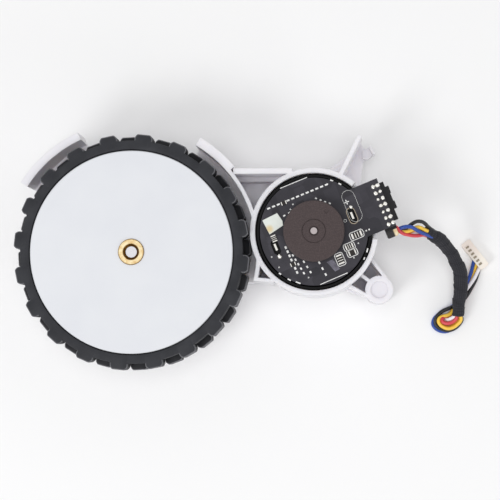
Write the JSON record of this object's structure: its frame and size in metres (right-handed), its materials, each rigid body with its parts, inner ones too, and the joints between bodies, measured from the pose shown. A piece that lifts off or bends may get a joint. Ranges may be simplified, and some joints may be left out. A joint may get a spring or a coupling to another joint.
{
  "type": "robot vacuum wheel module",
  "caption": "Drive wheel module of a robot vacuum: ribbed tyre in an arched housing, geared motor with control board, pivot boss, spring arm and wiring harness.",
  "frame": {"origin": "axis of the pivot bore at the level of the rear cover's flat face", "axes": "+Z along the pivot and wheel axes towards the wheel face, +X from the wheel towards the harness plug"},
  "size_m": [0.1434, 0.0714, 0.0335],
  "materials": {
    "case_plastic": "fine satin moulding",
    "screw_steel": "zinc-plated",
    "motor_steel": "drawn steel",
    "pin_steel": "ground",
    "field_ferrite": "sintered",
    "armature_iron": "stacked sheet",
    "magnet_compound": "moulded bonded magnet",
    "black_plastic": "moulded",
    "band_rubber": "smooth, glossy",
    "board_laminate": "black solder mask",
    "chip_ceramic": "matte",
    "solder_tin": "bright solder",
    "pad_foam": "matte adhesive pad",
    "brass": "turned",
    "bush_bronze": "sintered",
    "gear_plastic": "natural acetal",
    "tyre_rubber": "moulded, matte",
    "hub_plastic": "moulded",
    "disc_plastic": "fine grain",
    "sleeve_cloth": "cloth tape",
    "plug_plastic": "nylon",
    "contact_tin": "tinned",
    "wire_red": "sleeved",
    "wire_orange": "sleeved",
    "wire_yellow": "sleeved",
    "wire_black": "sleeved",
    "wire_blue": "sleeved",
    "wire_white": "sleeved"
  },
  "bodies": {
    "housing": {"main_housing": "case_plastic", "rear_cover": "case_plastic", "cover_screws": "screw_steel", "motor_screws": "screw_steel", "motor_can": "motor_steel", "gear_pin_1": "pin_steel", "gear_pin_2": "pin_steel", "gear_pin_3": "pin_steel", "field_magnets": "field_ferrite", "motor_end_cap": "black_plastic", "board_header": "black_plastic", "motor_band": "band_rubber", "control_board": "board_laminate", "board_chips": "chip_ceramic", "solder_joints": "solder_tin", "motor_terminals": "solder_tin", "white_pad": "pad_foam", "shaft_bearing_front": "bush_bronze", "shaft_bearing_rear": "bush_bronze", "harness_sleeve": "sleeve_cloth", "plug_housing": "plug_plastic", "board_plug": "plug_plastic", "plug_contacts": "contact_tin", "wire_red": "wire_red", "wire_orange": "wire_orange", "wire_yellow": "wire_yellow", "wire_black": "wire_black", "wire_blue": "wire_blue", "wire_white": "wire_white"},
    "wheel": {"tyre": "tyre_rubber", "wheel_hub": "hub_plastic", "hub_disc": "disc_plastic", "hub_insert": "brass", "output_shaft": "pin_steel", "output_gear": "gear_plastic", "shaft_washer": "pin_steel"},
    "gear_1": {"gear_1": "gear_plastic"},
    "gear_2": {"gear_2": "gear_plastic"},
    "gear_3": {"gear_3": "gear_plastic"},
    "rotor": {"motor_shaft": "pin_steel", "motor_pinion": "brass", "encoder_magnet": "magnet_compound", "armature": "armature_iron"}
  },
  "joints": [
    {"name": "wheel_spin", "type": "hinge", "parent": "housing", "child": "wheel", "pos_m": [-0.074, 0.0108, 0.024], "axis": [0, 0, 1], "continuous": true},
    {"name": "gear_3_spin", "type": "hinge", "parent": "housing", "child": "gear_3", "pos_m": [-0.05884, 0.01973, 0.008], "axis": [0, 0, 1], "continuous": true},
    {"name": "gear_2_spin", "type": "hinge", "parent": "housing", "child": "gear_2", "pos_m": [-0.04473, 0.01559, 0.008], "axis": [0, 0, 1], "continuous": true},
    {"name": "gear_1_spin", "type": "hinge", "parent": "housing", "child": "gear_1", "pos_m": [-0.03132, 0.02162, 0.006], "axis": [0, 0, 1], "continuous": true},
    {"name": "rotor_spin", "type": "hinge", "parent": "housing", "child": "rotor", "pos_m": [-0.0196, 0.017, 0.02], "axis": [0, 0, 1], "continuous": true}
  ],
  "couplings": [
    {"joint": "gear_3_spin", "follows": "wheel_spin", "ratio": -2.6667},
    {"joint": "gear_2_spin", "follows": "wheel_spin", "ratio": 6.6667},
    {"joint": "gear_1_spin", "follows": "wheel_spin", "ratio": -16.667},
    {"joint": "rotor_spin", "follows": "wheel_spin", "ratio": 41.667}
  ]
}
